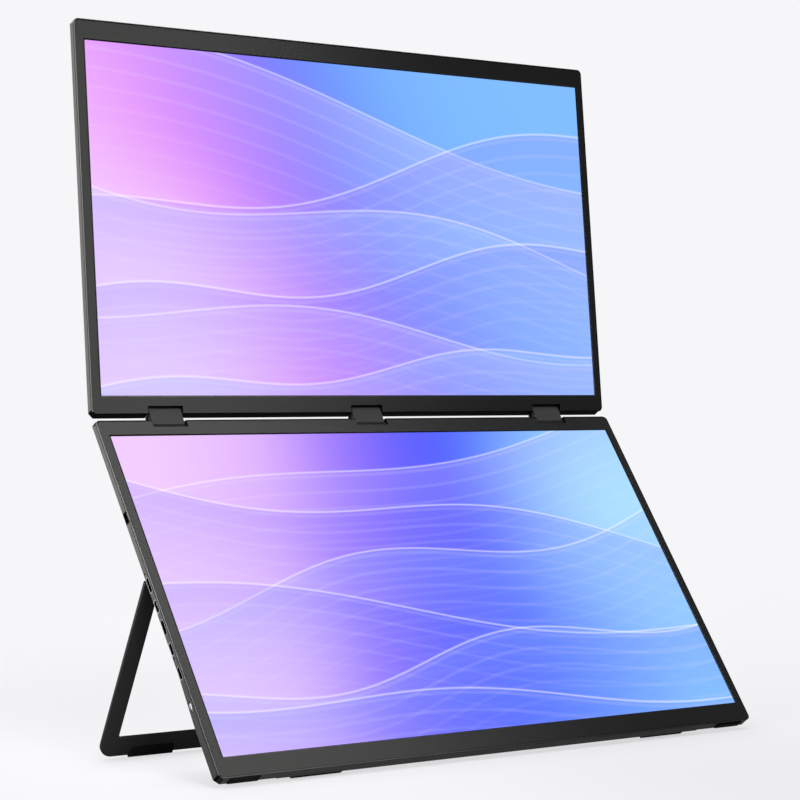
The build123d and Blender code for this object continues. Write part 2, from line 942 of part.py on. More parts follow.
# Lower rear cover
def make_lower_cover(edge_pads):
    body = make_tray(make_cover_block() + make_base())
    body = body - block(
        -rim_half_width,
        rim_half_width,
        island_y1,
        end_y - wall_thickness,
        base_z + floor_thickness,
        floor_z,
    )
    island_half = stand_inner_half - island_gap
    body = add_island(body, island_half, island_y0, island_y1, island_height, island_slope)
    rim = loft(
        [
            Pos(0, (rim_start + end_y - cover_rear_bevel) / 2, rear_z + floor_thickness / 2)
            * Rectangle(2 * rim_half_width, end_y - cover_rear_bevel - rim_start),
            Pos(0, (rim_start + end_y - cover_rear_bevel) / 2, rear_z - rim_height)
            * Rectangle(2 * (rim_half_width - rim_slope), end_y - cover_rear_bevel - rim_start),
        ]
    )
    body = body + rim
    for side in (1, -1):
        mount = block(
            side * (plate_x0 - mount_margin),
            side * (plate_x1 + mount_margin),
            bracket_y0 - mount_margin,
            bracket_y1 + mount_margin,
            floor_z,
            rear_z + bracket_block_depth,
        )
        recess = block(
            side * (plate_x0 - seat_gap),
            side * (plate_x1 + seat_gap),
            bracket_y0 - seat_gap,
            bracket_y1 + seat_gap,
            rear_z,
            plate_z + seat_gap,
        )
        body = body + mount - recess
    for x, y in stand_screw_spots:
        for side in (1, -1):
            body = body - screw_hole(side * x, y, rear_z, rear_z + bracket_block_depth)
    body = add_case_bosses(body, base_z)
    body = add_ribs(body, island_height)
    for spot in board_screw_spots:
        x = board_inner_edge + board_screw_edge
        top = board_z - board_thickness - seat_gap
        over_island = edge_y + spot > island_y0 + island_slope + boss_radius
        base = rear_z - island_height if over_island else rear_z
        body = body + rod_z(x, edge_y + spot, base, top, boss_radius)
        body = body - screw_hole(x, edge_y + spot, floor_z, top)
    cut_x0 = wall_inner_x - overcut
    cut_x1 = half_width + overcut
    for y, outer, inner in make_usb_shells(socket_gap) + make_slot_shells(socket_gap):
        body = body - facing_edge(y, socket_z, cut_x0) * extrude(outer, cut_x1 - cut_x0)
    for spot in lens_spots:
        body = body - rod_x(
            cut_x0,
            cut_x1,
            down_screen(spot),
            front_z - lens_depth,
            lens_radius + lens_gap,
        )
    wide, tall = lock_flange
    body = body - block(
        cut_x0,
        cut_x1,
        lock_y - wide / 2 - lock_gap,
        lock_y + wide / 2 + lock_gap,
        lock_z - tall / 2 - lock_gap,
        lock_z + tall / 2 + lock_gap,
    )
    body = body - rod_z(
        wheel_x, wheel_y, wheel_z0 - wheel_gap, wheel_z1 + wheel_gap, wheel_radius + wheel_gap
    )
    for pad in edge_pads:
        body = body - pad
    return body


def make_upper_cover():
    body = make_tray(make_cover_block())
    body = add_island(
        body,
        upper_island_half_width,
        edge_y + upper_island_inset,
        end_y - upper_island_inset,
        upper_island_height,
        island_slope,
    )
    body = add_case_bosses(body, rear_z)
    return add_ribs(body, upper_island_height)


# Lean of the lower display: the rear feet and the stand's pads touch one level floor.
open_angle = math.radians(stand_open)
pad_down = stand_y + stand_pad_y1 * math.cos(open_angle) + stand_pad_z1 * math.sin(open_angle)
pad_back = stand_z - stand_pad_y1 * math.sin(open_angle) + stand_pad_z1 * math.cos(open_angle)
lower_lean = math.degrees(math.atan2(rear_foot_y1 - pad_down, rear_foot_z0 - pad_back))


def up_dir(lean):
    angle = math.radians(lean)
    return Vector(0, math.sin(angle), math.cos(angle))


def front_dir(lean):
    angle = math.radians(lean)
    return Vector(0, -math.cos(angle), math.sin(angle))


foot_drop = rear_foot_y1 * up_dir(lower_lean).Z - rear_foot_z0 * front_dir(lower_lean).Z
front_most = -end_y * up_dir(lower_lean).Y + front_z * front_dir(lower_lean).Y
upper_shift = up_dir(link_lean) * link_pitch
top_rear = up_dir(upper_lean) * end_y + front_dir(upper_lean) * rear_z
rear_most = upper_shift.Y + top_rear.Y
lower_axis = Vector(0, -(front_most + rear_most) / 2, foot_drop)
upper_axis = lower_axis + upper_shift

lower_place = Location(Plane(lower_axis, x_dir=(-1, 0, 0), z_dir=front_dir(lower_lean)))
link_place = Location(Plane(lower_axis, x_dir=(1, 0, 0), z_dir=front_dir(link_lean)))
upper_place = Location(Plane(upper_axis, x_dir=(1, 0, 0), z_dir=front_dir(upper_lean)))
stand_place = lower_place * Pos(0, stand_y, stand_z) * Rot(-stand_open, 0, 0)
below_floor = Pos(0, 0, -height / 2) * Box(2 * width, 4 * height, height)


def save(name, shapes, place, on_floor=False):
    solids = []
    for shape in shapes:
        moved = place * shape
        if on_floor:
            moved = moved - below_floor
        solids += moved.solids()
    whole = solids[0] if len(solids) == 1 else Compound(solids)
    export_step(whole, "parts/" + name + ".step")


edge_pads = make_edge_pads()
stand_pads = make_stand_pads()
stand_frame = make_stand_frame()
for pad in stand_pads:
    stand_frame = stand_frame - pad
usb_shells = make_usb_shells()
slot_shells = make_slot_shells()
sleeve_ys = (0, link_pitch)

lower_nodes = {
    "lower_front_frame": [make_frame()],
    "lower_screen": [make_panel()],
    "lower_carrier_plate": [make_plate()],
    "lower_rear_cover": [make_lower_cover(edge_pads)],
    "lower_driver_board": [make_driver_board()],
    "lower_case_screws": make_case_screws(),
    "lower_hinge_brackets": make_brackets(),
    "lower_bracket_screws": make_bracket_screws(),
    "lower_hinge_pins": make_pins(),
    "lower_ribbons": make_lower_ribbons(),
    "main_board": [make_main_board()],
    "board_screws": make_board_screws(),
    "board_chips": make_chips(),
    "usb_c_shells": socket_bodies(usb_shells),
    "usb_c_tongues": socket_tongues(usb_shells, usb_tongue),
    "micro_socket_shells": socket_bodies(slot_shells),
    "micro_socket_tongues": socket_tongues(slot_shells, slot_tongue),
    "pinhole_lenses": make_lenses(),
    "lock_slot_liner": [make_lock_liner()],
    "thumb_wheel": [make_wheel()],
    "thumb_wheel_axle": [make_axle()],
    "thumb_wheel_carriage": [make_carriage()],
    "thumb_wheel_switch": [make_switch()],
    "bottom_edge_pads": edge_pads,
    "stand_brackets": make_stand_brackets(),
    "stand_bracket_screws": make_stand_screws(),
    "stand_pins": make_stand_pins(),
}
upper_nodes = {
    "upper_front_frame": [make_frame()],
    "upper_screen": [make_panel()],
    "upper_carrier_plate": [make_plate()],
    "upper_rear_cover": [make_upper_cover()],
    "upper_driver_board": [make_driver_board()],
    "upper_case_screws": make_case_screws(),
    "upper_hinge_brackets": make_brackets(),
    "upper_bracket_screws": make_bracket_screws(),
    "upper_hinge_pins": make_pins(),
    "upper_ribbon": [make_upper_ribbon()],
}
link_names = ("hinge_link_left", "hinge_link_middle", "hinge_link_right")

for name, shapes in lower_nodes.items():
    save(name, shapes, lower_place)
save("rear_feet", make_rear_feet(), lower_place, on_floor=True)
for name, shapes in upper_nodes.items():
    save(name, shapes, upper_place)
for name, centre in zip(link_names, hinge_centres):
    save(name, [make_link(centre)], link_place)
save("hinge_link_caps", [make_cap(c) for c in hinge_centres], link_place)
save("hinge_sleeves", [make_sleeve(c, y) for c in hinge_centres for y in sleeve_ys], link_place)
save("hinge_ribbon", [make_link_ribbon()], link_place)
save("stand_frame", [stand_frame], stand_place)
save("stand_pads", stand_pads, stand_place, on_floor=True)
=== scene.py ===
import math

import bpy
from mathutils import Matrix, Vector


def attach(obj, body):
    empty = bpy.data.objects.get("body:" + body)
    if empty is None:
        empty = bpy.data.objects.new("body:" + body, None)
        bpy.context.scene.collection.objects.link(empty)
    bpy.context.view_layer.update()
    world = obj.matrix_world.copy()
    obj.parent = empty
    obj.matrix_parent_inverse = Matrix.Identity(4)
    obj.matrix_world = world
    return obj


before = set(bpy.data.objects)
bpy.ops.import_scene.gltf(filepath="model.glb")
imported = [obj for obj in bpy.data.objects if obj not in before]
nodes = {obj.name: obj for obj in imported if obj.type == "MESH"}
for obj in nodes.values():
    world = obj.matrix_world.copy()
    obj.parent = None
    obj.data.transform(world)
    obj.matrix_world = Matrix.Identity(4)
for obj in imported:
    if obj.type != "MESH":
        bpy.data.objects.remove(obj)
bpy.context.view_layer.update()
print("frame loaded:", len(nodes), "pieces")

mm = 0.001
sideways = (1.0, 0.0, 0.0)

# What the finishes share: the size of slow drift, how noise is spread, and rays for edges and for the
# painted shade in creases
common = dict(
    driftSize=28 * mm, noiseRoughness=0.55, noiseSpan=(0.3, 0.7), wideSpan=(0.25, 0.75),
    creaseSpan=(0.05, 0.75), bumpStrength=0.6, samples=6,
)


# sRGB 0..255 as the linear colour that a socket takes
def paint(red, green, blue):
    linear = []
    for part in (red, green, blue):
        value = part / 255
        linear.append(value / 12.92 if value <= 0.04045 else ((value + 0.055) / 1.055) ** 2.4)
    return (*linear, 1.0)


def scaled(colour, factor):
    return (*(min(1.0, part * factor) for part in colour[:3]), 1.0)


# One small wrapper round a material's node tree, so that each finish below reads as a recipe
class Recipe:
    def __init__(self, name):
        self.material = bpy.data.materials.new(name)
        self.material.use_nodes = True
        self.tree = self.material.node_tree
        self.tree.nodes.clear()
        self.output = self.tree.nodes.new("ShaderNodeOutputMaterial")
        self.shader = self.tree.nodes.new("ShaderNodeBsdfPrincipled")
        self.tree.links.new(self.shader.outputs[0], self.output.inputs["Surface"])
        self.place = self.add("ShaderNodeTexCoord").outputs["Object"]

    def put(self, socket, value):
        if isinstance(value, bpy.types.NodeSocket):
            self.tree.links.new(value, socket)
        else:
            socket.default_value = value

    def add(self, kind, inputs=None, **props):
        node = self.tree.nodes.new(kind)
        for key, value in props.items():
            setattr(node, key, value)
        for key, value in (inputs or {}).items():
            self.put(node.inputs[key], value)
        return node

    def set(self, **sockets):
        for key, value in sockets.items():
            self.put(self.shader.inputs[key.replace("_", " ")], value)

    def calc(self, operation, a, b=0.0, c=0.0):
        node = self.add("ShaderNodeMath", operation=operation)
        for index, value in enumerate((a, b, c)):
            self.put(node.inputs[index], value)
        return node.outputs[0]

    def dot(self, vector, direction):
        node = self.add("ShaderNodeVectorMath", operation="DOT_PRODUCT")
        self.put(node.inputs[0], vector)
        self.put(node.inputs[1], direction)
        return node.outputs["Value"]

    def span(self, value, low, high, to=(0.0, 1.0), smooth=True):
        inputs = {"Value": value, "From Min": low, "From Max": high, "To Min": to[0], "To Max": to[1]}
        curve = "SMOOTHSTEP" if smooth else "LINEAR"
        return self.add("ShaderNodeMapRange", inputs, interpolation_type=curve).outputs[0]

    def mix(self, factor, a, b):
        node = self.add("ShaderNodeMix", data_type="RGBA", clamp_factor=True)
        for index, value in ((0, factor), (6, a), (7, b)):  # the node's sockets for colours
            self.put(node.inputs[index], value)
        return node.outputs[2]

    def vary(self, factor, colour, darker, lighter):
        return self.mix(factor, scaled(colour, darker), scaled(colour, lighter))

    def noise(self, size, detail=3.0, stretch=(1.0, 1.0, 1.0)):
        place = self.add("ShaderNodeMapping", {"Vector": self.place, "Scale": stretch}).outputs[0]
        rough = common["noiseRoughness"]
        inputs = {"Vector": place, "Scale": 1 / size, "Detail": detail, "Roughness": rough}
        return self.add("ShaderNodeTexNoise", inputs).outputs["Fac"]

    def grain(self, height, depth, strength, edge=0.0):
        inputs = {"Height": height, "Distance": depth, "Strength": strength}
        if edge:
            rounded = self.add("ShaderNodeBevel", {"Radius": edge}, samples=common["samples"])
            inputs["Normal"] = rounded.outputs[0]
        self.set(Normal=self.add("ShaderNodeBump", inputs).outputs[0])

    # Painted shade: the colour darkened where ambient occlusion finds other surfaces close by, in creases,
    # seams and gaps
    def paintCreaseShade(self, colour, reach, depth):
        near = self.add("ShaderNodeAmbientOcclusion", {"Distance": reach}, samples=common["samples"])
        dark = self.span(near.outputs["AO"], *common["creaseSpan"], (depth, 0.0))
        return self.mix(dark, colour, (0.0, 0.0, 0.0, 1.0))

    def ramp(self, factor, stops):
        node = self.add("ShaderNodeValToRGB", {"Fac": factor})
        band = node.color_ramp
        band.interpolation = "B_SPLINE"
        for _ in stops[2:]:
            band.elements.new(0.5)
        for element, (position, colour) in zip(band.elements, stops):
            element.position = position
            element.color = colour
        return node.outputs["Color"]


def dress(material, *names):
    for name in names:
        mesh = nodes[name].data
        mesh.materials.clear()
        mesh.materials.append(material)


# A second finish on the faces that a test picks out
def accent(name, material, chosen):
    mesh = nodes[name].data
    mesh.materials.append(material)
    for face in mesh.polygons:
        if chosen(face):
            face.material_index = len(mesh.materials) - 1


# Direction that a leaning piece faces, and up along it, for its lean from upright in degrees
def facing(lean):
    angle = math.radians(lean)
    sine, cosine = math.sin(angle), math.cos(angle)
    return Vector((0.0, -cosine, sine)), Vector((0.0, sine, cosine))


# Leans of the two displays, and the way along each that leads from its hinge edge
displays = dict(lower=dict(lean=35.652, away=-1.0), upper=dict(lean=4.85, away=1.0))


# Where a display faces, the way from its hinge edge, and where its front face and that edge lie
def alongDisplay(display):
    s = displays[display]
    front, up = facing(s["lean"])
    away = up * s["away"]
    corners = [v.co for v in nodes[display + "_front_frame"].data.vertices]
    return front, away, max(c.dot(front) for c in corners), min(c.dot(away) for c in corners)


# Distances from a display's hinge edge and from its front face
def displayPlace(r, display):
    front, away, face, edge = alongDisplay(display)
    return r.calc("SUBTRACT", r.dot(r.place, away), edge), r.calc("SUBTRACT", face, r.dot(r.place, front))


# Distance out of a rounded rectangle, below zero inside it
def outOfRectangle(r, across, along, corner):
    beyond = []
    for value, middle, size in (across, along):
        away = r.calc("ABSOLUTE", r.calc("SUBTRACT", value, middle))
        beyond.append(r.calc("SUBTRACT", away, size / 2 - corner))
    inside = r.calc("MINIMUM", r.calc("MAXIMUM", *beyond), 0.0)
    one, two = (r.calc("MAXIMUM", part, 0.0) for part in beyond)
    corners = r.calc("SQRT", r.calc("MULTIPLY_ADD", one, one, r.calc("MULTIPLY", two, two)))
    return r.calc("SUBTRACT", r.calc("ADD", corners, inside), corner)


# Thin ring round each of a row of rounded openings
solidRing = 0.7  # share of the ring's width before it fades


def rimMask(r, s):
    down, inward = displayPlace(r, s["display"])
    mask = 0.0
    for spot, length, height, corner in s["openings"]:
        outside = outOfRectangle(r, (down, spot, length), (inward, s["depth"], height), corner)
        mask = r.calc("MAXIMUM", mask, r.span(outside, s["width"], s["width"] * solidRing))
    return mask


# Dark line on the front face, just inside the bevel that runs round it, wider at the right and the top
def edgeMask(r, s):
    down, inward = displayPlace(r, s["display"])
    across = r.dot(r.place, sideways)
    middle = s["height"] / 2 - s["shift"] * displays[s["display"]]["away"]
    tall = (down, middle, s["height"])
    outside = outOfRectangle(r, (across, -s["shift"], s["width"]), tall, s["corner"])
    return r.calc("MULTIPLY", r.span(outside, -s["end"], -s["start"]), r.span(inward, *s["skin"]))


# Paler band of painted light on the lower display's painted-shade cut corners, by the share of the way
# from side wall to bottom wall
def facetMask(r, s):
    away = alongDisplay("lower")[1]
    end = max(v.co.dot(away) for v in nodes["lower_rear_cover"].data.vertices)
    inward = r.calc("SUBTRACT", s["side"], r.calc("ABSOLUTE", r.dot(r.place, sideways)))
    onward = r.calc("SUBTRACT", r.dot(r.place, away), end - s["cut"])
    share = r.calc("MULTIPLY", r.calc("ADD", inward, onward), 0.5 / s["cut"])
    return r.calc("MULTIPLY", r.span(share, *s["fadeIn"]), r.span(share, *s["fadeOut"]))


# Solid finishes: a base colour with slow drift and fine grain, and roughness that follows the grain
def solidFinish(name, s):
    r = Recipe(name)
    slow = r.noise(common["driftSize"], detail=2.0)
    fine = r.noise(s["grainSize"], detail=4.0, stretch=s.get("stretch", (1.0, 1.0, 1.0)))
    base = paint(*s["colour"])
    drift = r.vary(slow, base, 1 - s["drift"], 1 + s["drift"])
    speckle = r.vary(r.span(fine, *common["noiseSpan"]), base, 1 - s["speckle"], 1 + s["speckle"])
    colour = r.mix(0.5, drift, speckle)
    if "seam" in s:
        inward = displayPlace(r, s["seam"]["display"])[1]
        line = r.span(inward, s["seam"]["start"], s["seam"]["end"])
        colour = r.mix(line, colour, scaled(base, s["seam"]["shade"]))
    if "edgeLine" in s:
        colour = r.mix(edgeMask(r, s["edgeLine"]), colour, scaled(base, s["edgeLine"]["shade"]))
    for ring in s.get("rings", ()):
        colour = r.mix(rimMask(r, ring), colour, paint(*ring["colour"]))
    # Paler band of painted light on the cut corners
    if "facet" in s:
        colour = r.mix(facetMask(r, s["facet"]), colour, paint(*s["facet"]["colour"]))
    # Painted shade at the low end
    if "lowEndShade" in s:
        rise = r.calc("SUBTRACT", r.dot(r.place, s["lowEndShade"]["up"]), s["lowEndShade"]["start"])
        colour = r.mix(r.span(rise, 0.0, s["lowEndShade"]["blend"]), scaled(base, s["lowEndShade"]["shade"]), colour)
    # Painted shade in creases and gaps
    if "creaseShade" in s:
        colour = r.paintCreaseShade(colour, *s["creaseShade"])
    r.set(Base_Color=colour, Metallic=s.get("metallic", 0.0))
    r.set(Roughness=r.span(fine, *common["wideSpan"], s["roughness"]))
    r.set(Specular_IOR_Level=s.get("specular", 0.5))
    r.grain(fine, s["grainDepth"], common["bumpStrength"], s.get("edge", 0.0))
    return r.material


# Front frames, with a dark seam where the cover starts, a dark line inside the bevel, and a painted
# highlight on the bevel faces
frontFrame = dict(
    colour=(57, 57, 56), drift=0.05, speckle=0.07, grainSize=0.35 * mm, grainDepth=0.005 * mm,
    roughness=(0.5, 0.62), specular=0.06, edge=0.1 * mm, creaseShade=(1.2 * mm, 0.9),
)
frameSeam = dict(start=0.82 * mm, end=0.92 * mm, shade=0.18)
frameLine = dict(
    width=355.2 * mm, height=214.6 * mm, corner=3 * mm, start=0.85 * mm, end=0.95 * mm, shift=0.25 * mm,
    skin=(0.15 * mm, 0.05 * mm), shade=0.12,
)
# Painted highlight: the frame's bevel faces take a paler colour, as where light catches them
bevelHighlightLook = dict(
    colour=(92, 92, 91), drift=0.04, speckle=0.06, grainSize=0.3 * mm, grainDepth=0.006 * mm,
    roughness=(0.36, 0.46), specular=0.1, creaseShade=(1.5 * mm, 0.95),
)
bevelSlope = (0.5, 0.92)
bevelHighlightFinish = solidFinish("paintedBevelHighlight", bevelHighlightLook)


def onBevel(face, front):
    return bevelSlope[0] < face.normal.dot(front) < bevelSlope[1]


for display in displays:
    node = display + "_front_frame"
    lines = dict(seam=dict(frameSeam, display=display), edgeLine=dict(frameLine, display=display))
    dress(solidFinish(display + "Frame", dict(frontFrame, **lines)), node)
    front = alongDisplay(display)[0]
    accent(node, bevelHighlightFinish, lambda face: onBevel(face, front))

# Rear covers; the openings in the lower one are (mm from the hinge edge, length, height, corner)
rearCover = dict(
    colour=(92, 92, 91), drift=0.05, speckle=0.24, grainSize=0.45 * mm, grainDepth=0.03 * mm,
    roughness=(0.44, 0.58), metallic=0.03, specular=0.05, edge=0.12 * mm, stretch=(1.0, 0.6, 0.6),
    creaseShade=(1.6 * mm, 0.95),
)
socketRims = dict(
    display="lower", depth=3.05 * mm, width=0.3 * mm, colour=(168, 168, 170),
    openings=[(spot * mm, 8.84 * mm, 2.9 * mm, 1.45 * mm) for spot in (101.6, 126.8)]
    + [(spot * mm, 6.9 * mm, 2.7 * mm, 0.4 * mm) for spot in (114.4, 139.6, 153.7)],
)
slotSurround = dict(
    display="lower", depth=3.0 * mm, width=0.55 * mm, colour=(7, 7, 8),
    openings=[(60.65 * mm, 6.1 * mm, 3.3 * mm, 0.1 * mm)],
)
pinholeShade = dict(
    display="lower", depth=3.7 * mm, width=0.25 * mm, colour=(7, 7, 8),
    openings=[(spot * mm, 1.0 * mm, 1.0 * mm, 0.5 * mm) for spot in (94.5, 144.7)],
)
ringedCover = dict(rearCover, rings=(socketRims, slotSurround, pinholeShade))
dress(solidFinish("blastedCover", rearCover), "upper_rear_cover")
dress(solidFinish("blastedCoverWithRims", ringedCover), "lower_rear_cover")

# Faces given painted shade, a near-black finish; steepest, outward and the like are limits on a face's
# normal
paintedShadeLook = dict(
    colour=(9, 9, 9), drift=0.1, speckle=0.15, grainSize=0.3 * mm, grainDepth=0.006 * mm,
    roughness=(0.6, 0.75), specular=0.02,
)
hingeGap = dict(depth=4.7 * mm, sideStart=170 * mm, steepest=0.75, outward=0.4)
screenWindow = dict(side=172.2 * mm, start=9.7 * mm, end=203.5 * mm, steepest=0.95)
cutCorner = dict(
    side=177.6 * mm, cut=2.6 * mm, colour=(70, 70, 70), fadeIn=(0.4, 0.48), fadeOut=(0.97, 0.9),
    slant=(0.3, 0.9), outward=0.3, steepest=0.75,
)
# Painted shade also goes on these right-facing bevel faces
bevelRight = 0.3  # bevel faces that look to the right
shadeFinish = solidFinish("hingeShade", paintedShadeLook)
cornerFinish = solidFinish("cornerShade", dict(paintedShadeLook, facet=cutCorner))


# Walls of the hinge notches and of the two facing edges, which take painted shade
def inHingeGap(face, front, away, edge):
    s = hingeGap
    if face.center.dot(away) - edge > s["depth"] or abs(face.normal.dot(front)) > s["steepest"]:
        return False
    return abs(face.center.x) < s["sideStart"] or face.normal.dot(away) < -s["outward"]


# Cut corners at the lower display's bottom edge, which take painted shade with a paler band of painted
# light
def onCutCorner(face, front, away):
    s = cutCorner
    slanted = s["slant"][0] < abs(face.normal.x) < s["slant"][1]
    return slanted and face.normal.dot(away) > s["outward"] and abs(face.normal.dot(front)) < s["steepest"]


# Walls of the opening that the screen shows through, which take painted shade
def inWindow(face, front, away, edge):
    s = screenWindow
    inside = abs(face.center.x) < s["side"] and s["start"] < face.center.dot(away) - edge < s["end"]
    return inside and abs(face.normal.dot(front)) < s["steepest"]


# Painted shade on hinge gaps, window walls and right-facing bevels; on the cut corners, painted shade with
# a paler painted-light band
for display in displays:
    front, away, _, edge = alongDisplay(display)
    for piece in ("_front_frame", "_rear_cover"):
        accent(display + piece, shadeFinish, lambda face: inHingeGap(face, front, away, edge))
        if display == "lower":
            accent(display + piece, cornerFinish, lambda face: onCutCorner(face, front, away))
    node = display + "_front_frame"
    accent(node, shadeFinish, lambda face: inWindow(face, front, away, edge))
    accent(node, shadeFinish, lambda face: face.normal.x > bevelRight and onBevel(face, front))

# Stand, whose upward faces take painted shade, as they lie in the display's shadow
standFinish = dict(
    colour=(54, 54, 54), drift=0.06, speckle=0.1, grainSize=0.3 * mm, grainDepth=0.01 * mm,
    roughness=(0.4, 0.52), specular=0.07, edge=0.2 * mm,
)
standUpward = 0.8
dress(solidFinish("satinStand", standFinish), "stand_frame", "stand_brackets")
accent("stand_frame", shadeFinish, lambda face: face.normal.z > standUpward)

# Links, with painted shade at the end toward the lower display; their lean, and the lower axis that they
# turn about
linkLean = 30.5
linkFront, linkUp = facing(linkLean)
linkAxis = Vector((0.0, 50.235 * mm, 176.314 * mm))
linkFinish = dict(
    colour=(68, 68, 68), drift=0.04, speckle=0.08, grainSize=0.3 * mm, grainDepth=0.012 * mm,
    roughness=(0.4, 0.5), metallic=0.85, specular=0.1, edge=0.1 * mm, creaseShade=(1.0 * mm, 0.9),
    lowEndShade=dict(up=linkUp, start=linkUp.dot(linkAxis) + 0.35 * mm, blend=0.15 * mm, shade=0.4),
)
dress(solidFinish("satinLink", linkFinish), "hinge_link_left", "hinge_link_middle", "hinge_link_right")

linkCap = dict(
    colour=(42, 42, 43), drift=0.04, speckle=0.1, grainSize=0.5 * mm, grainDepth=0.02 * mm,
    roughness=(0.5, 0.62), edge=0.1 * mm,
)
dress(solidFinish("mattCap", linkCap), "hinge_link_caps")

# Ridges on the back of each link, at either side of its cap, which fill the gap between the displays;
# their darker finish is painted shade for that gap
linkRidge = dict(
    middle=5.0 * mm, centres=(-132.7 * mm, 0.0, 132.7 * mm), sides=(7.4 * mm, 10.0 * mm), bevel=0.3 * mm,
    # mm along the link from its middle, and mm behind it
    outline=((-3.15, 1.3), (-3.05, 4.0), (-2.4, 4.5), (2.4, 4.5), (3.05, 4.0), (3.15, 1.3)),
    finish=dict(linkCap, colour=(24, 24, 25), specular=0.06),
)


def makeLinkRidges(s):
    middle = linkAxis + linkUp * s["middle"]
    points, faces = [], []
    near, far = s["sides"]
    bevel = s["bevel"]
    stations = ((near, bevel), (near + bevel, 0.0), (far - bevel, 0.0), (far, bevel))
    count = len(s["outline"])
    for centre in s["centres"]:
        for side in (1, -1):
            first = len(points)
            for across, drawnIn in stations:
                for along, depth in s["outline"]:
                    along = math.copysign(abs(along) * mm - drawnIn, along)
                    place = middle + linkUp * along - linkFront * (depth * mm - drawnIn)
                    points.append((centre + side * across, place.y, place.z))
            rings = [[first + count * k + i for i in range(count)] for k in range(len(stations))]
            loops = [rings[0], rings[-1][::-1]]
            for a, b in zip(rings, rings[1:]):
                loops += [(a[i], b[i], b[(i + 1) % count], a[(i + 1) % count]) for i in range(count)]
            faces += [tuple(loop) if side < 0 else tuple(loop)[::-1] for loop in loops]
    mesh = bpy.data.meshes.new("hinge_link_ridges")
    mesh.from_pydata(points, [], faces)
    mesh.materials.append(solidFinish("paintedShadeRidge", s["finish"]))
    ridges = bpy.data.objects.new("hinge_link_ridges", mesh)
    bpy.context.scene.collection.objects.link(ridges)
    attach(ridges, "hinge_links")


makeLinkRidges(linkRidge)

rubberFoot = dict(
    colour=(27, 27, 27), drift=0.12, speckle=0.2, grainSize=0.6 * mm, grainDepth=0.04 * mm,
    roughness=(0.66, 0.82), specular=0.03, edge=0.25 * mm,
)
dress(solidFinish("blackRubber", rubberFoot), "bottom_edge_pads", "rear_feet")
# The stand's pads take a lighter copy of the rubber: painted light that makes up for the display's shadow
# on them
dress(solidFinish("standRubberPaintedLight", dict(rubberFoot, colour=(44, 44, 44))), "stand_pads")

plateFinish = dict(
    colour=(196, 197, 199), drift=0.04, speckle=0.06, grainSize=0.25 * mm, grainDepth=0.004 * mm,
    roughness=(0.28, 0.42), metallic=1.0, stretch=(0.05, 1.0, 1.0),
)
dress(solidFinish("rolledPlate", plateFinish), "lower_carrier_plate", "upper_carrier_plate")

hingeSteel = dict(
    colour=(182, 182, 184), drift=0.05, speckle=0.08, grainSize=0.2 * mm, grainDepth=0.004 * mm,
    roughness=(0.24, 0.4), metallic=1.0, edge=0.05 * mm,
)
dress(
    solidFinish("hingeSteel", hingeSteel), "lower_hinge_brackets", "upper_hinge_brackets",
    "lower_hinge_pins", "upper_hinge_pins", "hinge_sleeves", "stand_pins", "thumb_wheel_axle",
)

screwFinish = dict(
    colour=(48, 48, 50), drift=0.08, speckle=0.12, grainSize=0.15 * mm, grainDepth=0.004 * mm,
    roughness=(0.3, 0.46), metallic=0.8, edge=0.06 * mm,
)
dress(
    solidFinish("blackenedScrew", screwFinish), "lower_case_screws", "upper_case_screws",
    "lower_bracket_screws", "upper_bracket_screws", "board_screws", "stand_bracket_screws",
)

# Socket shells: bright at the mouth, which looks out to the left, and dark inside with painted shade
socketShell = dict(
    colour=(176, 176, 178), drift=0.04, speckle=0.05, grainSize=0.12 * mm, grainDepth=0.002 * mm,
    roughness=(0.2, 0.32), metallic=1.0, edge=0.05 * mm,
)
shellInsideShade = dict(
    colour=(12, 12, 13), drift=0.06, speckle=0.08, grainSize=0.15 * mm, grainDepth=0.002 * mm,
    roughness=(0.5, 0.65), metallic=0.2, specular=0.04,
)
mouthLeft = -0.9
for node in ("usb_c_shells", "micro_socket_shells"):
    dress(solidFinish(node + "_inside", shellInsideShade), node)
    accent(node, solidFinish(node + "_rim", socketShell), lambda face: face.normal.x < mouthLeft)

darkPlastic = dict(
    colour=(7, 7, 8), drift=0.08, speckle=0.12, grainSize=0.3 * mm, grainDepth=0.01 * mm,
    roughness=(0.6, 0.74), specular=0.02, edge=0.06 * mm,
)
darkPieces = ("lock_slot_liner", "thumb_wheel_switch", "thumb_wheel_carriage")
dress(solidFinish("darkPlastic", darkPlastic), *darkPieces)

wheelFinish = dict(
    colour=(188, 188, 190), drift=0.03, speckle=0.03, grainSize=0.1 * mm, grainDepth=0.001 * mm,
    roughness=(0.5, 0.6), specular=0.2, edge=0.2 * mm,
)
dress(solidFinish("shinyWheel", wheelFinish), "thumb_wheel")

lensFinish = dict(
    colour=(9, 9, 11), drift=0.1, speckle=0.1, grainSize=0.2 * mm, grainDepth=0.001 * mm,
    roughness=(0.08, 0.16), specular=0.2,
)
dress(solidFinish("darkLens", lensFinish), "pinhole_lenses")
print("solid finishes done")

# Boards: solder mask with thin copper tracks showing through it, which run across or up in patches
boardLook = dict(
    mask=(16, 62, 42), track=(34, 92, 60), shades=(0.85, 1.15), pitch=1.6 * mm, width=0.18, solid=0.6,
    wanderSize=9 * mm, wander=3.0, patchSize=14 * mm, patchSpan=(0.48, 0.52), grainSize=0.4 * mm,
    relief=(0.02 * mm, 0.5), roughness=(0.3, 0.42),
)


